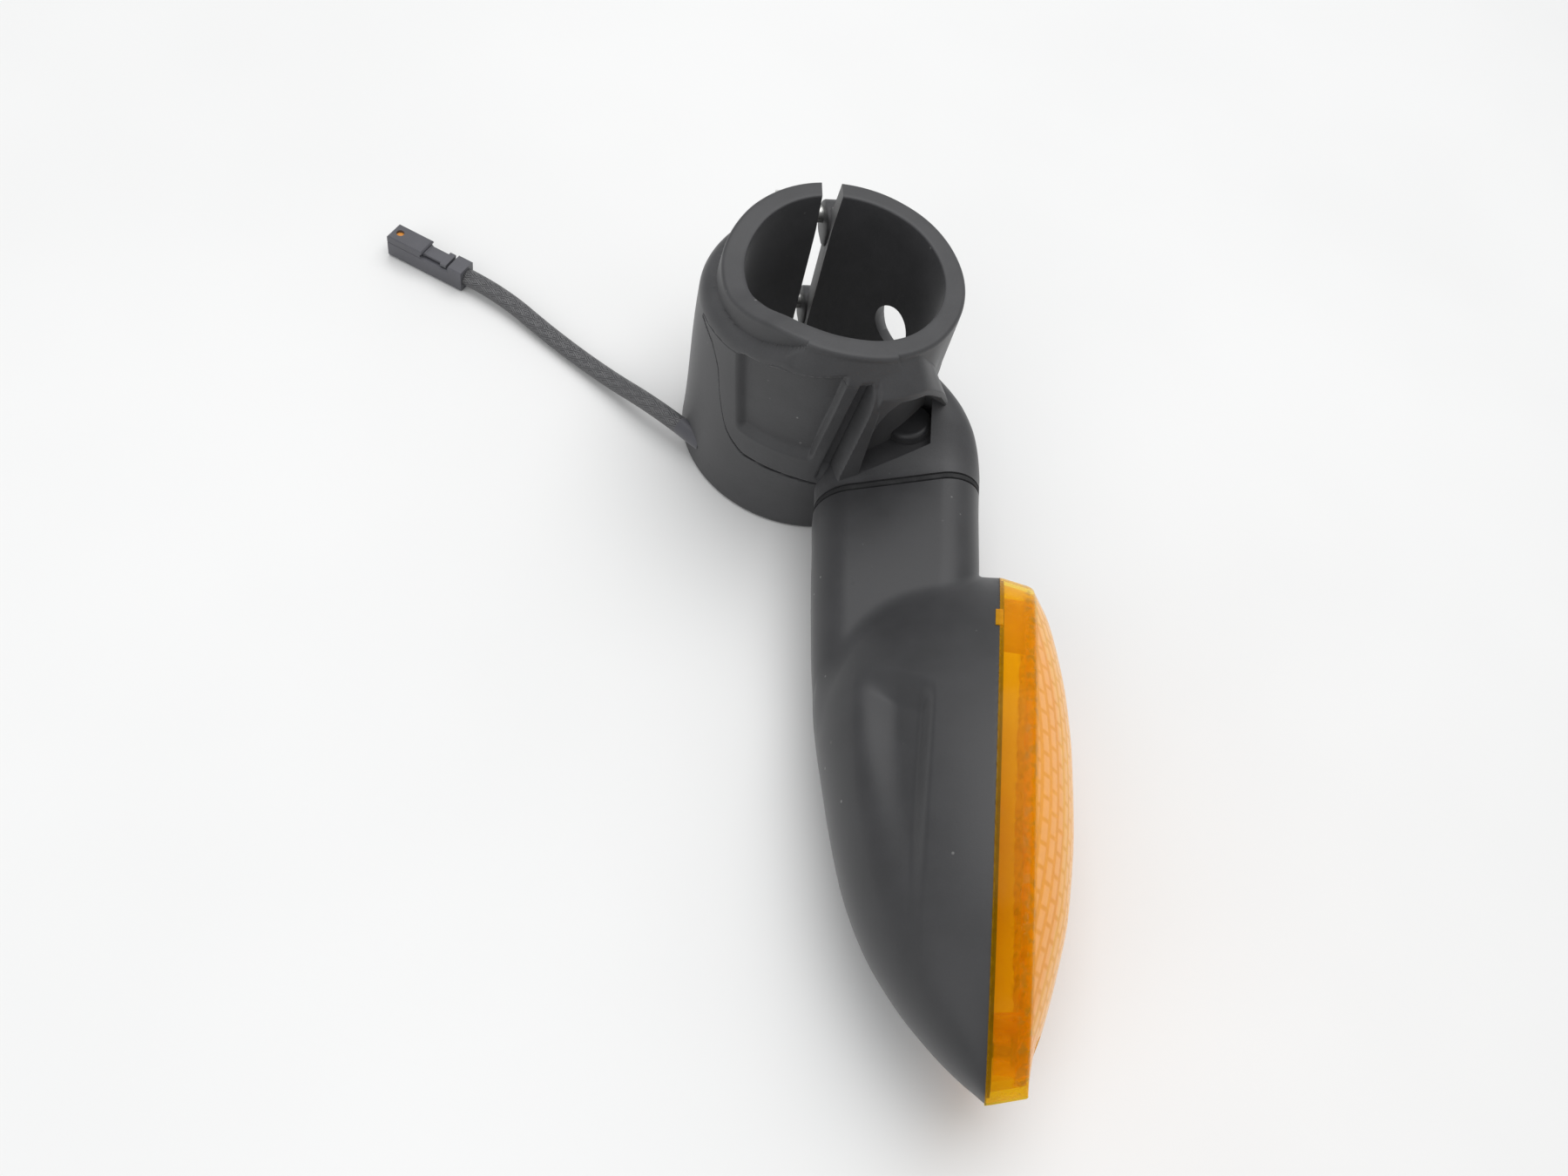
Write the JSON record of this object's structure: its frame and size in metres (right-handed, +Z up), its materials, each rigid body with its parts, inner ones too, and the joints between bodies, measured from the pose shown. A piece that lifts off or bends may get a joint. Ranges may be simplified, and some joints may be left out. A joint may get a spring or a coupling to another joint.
{
  "type": "motorcycle turn signal with fork clamp",
  "caption": "Amber turn signal on a short arm that grows from a split sleeve round a fork tube, with a flying lead and small plug.",
  "frame": {"origin": "on the fork tube's axis, at the foot of the clamp sleeve", "axes": "+Z up the fork tube, lamp reaches along -Y, lens faces +X and 15.5 degrees upwards"},
  "size_m": [0.1707, 0.1933, 0.057],
  "materials": {
    "sleeve_plastic": "fine-grained black glass-filled nylon",
    "housing_plastic": "satin dark grey-black plastic",
    "black_rubber": "soft black rubber",
    "seal_foam": "closed-cell foam",
    "amber_lens": "clear amber polycarbonate, polished",
    "bulb_glass": "clear blown glass",
    "reflector_bright": "vacuum-metallised, bright",
    "zinc_steel": "zinc-plated steel",
    "black_steel": "blackened steel",
    "brass": "plain brass",
    "tin_brass": "stamped brass, dull",
    "tungsten": "drawn tungsten wire",
    "wire_jacket": "thin PVC insulation",
    "braid": "fine woven polyester braid",
    "connector_plastic": "moulded black plastic",
    "peg_orange": "moulded orange plastic"
  },
  "bodies": {
    "mount": {"fork_sleeve": "sleeve_plastic", "cable_cover": "sleeve_plastic", "clamp_screw": "black_steel", "clamp_washer": "zinc_steel", "clamp_nut": "zinc_steel", "arm": "sleeve_plastic", "pivot_screw": "black_steel", "pivot_washer": "zinc_steel", "pivot_nut": "zinc_steel", "pivot_bush": "zinc_steel", "spacer": "black_rubber", "arm_leads": "wire_jacket", "lead_grommet": "black_rubber", "lead": "braid", "connector_shell": "connector_plastic", "connector_lock": "connector_plastic", "connector_peg": "peg_orange", "connector_terminal": "tin_brass", "connector_seal": "black_rubber"},
    "lamp": {"lamp_housing": "housing_plastic", "lens": "amber_lens", "lens_gasket": "seal_foam", "lens_screw": "zinc_steel", "reflector": "reflector_bright", "bulb_holder": "zinc_steel", "bulb_contact": "tin_brass", "bulb_cap": "brass", "bulb_glass": "bulb_glass", "bulb_filament": "tungsten", "lamp_leads": "wire_jacket"},
    "latch": {"connector_latch": "connector_plastic"}
  },
  "joints": [
    {"name": "lamp_fold", "type": "hinge", "parent": "mount", "child": "lamp", "pos_m": [0.02567, -0.0215, 0.01693], "axis": [-0.2672, 0, 0.9636], "range_deg": [-4, 4], "stiffness_Nm_per_rad": 2, "deforming": ["spacer"]},
    {"name": "latch_press", "type": "hinge", "parent": "mount", "child": "latch", "pos_m": [-0.09902, 0.02866, 0.0053], "axis": [-0.342, -0.9397, 0], "range_deg": [-4, 0], "stiffness_Nm_per_rad": 0.004}
  ]
}
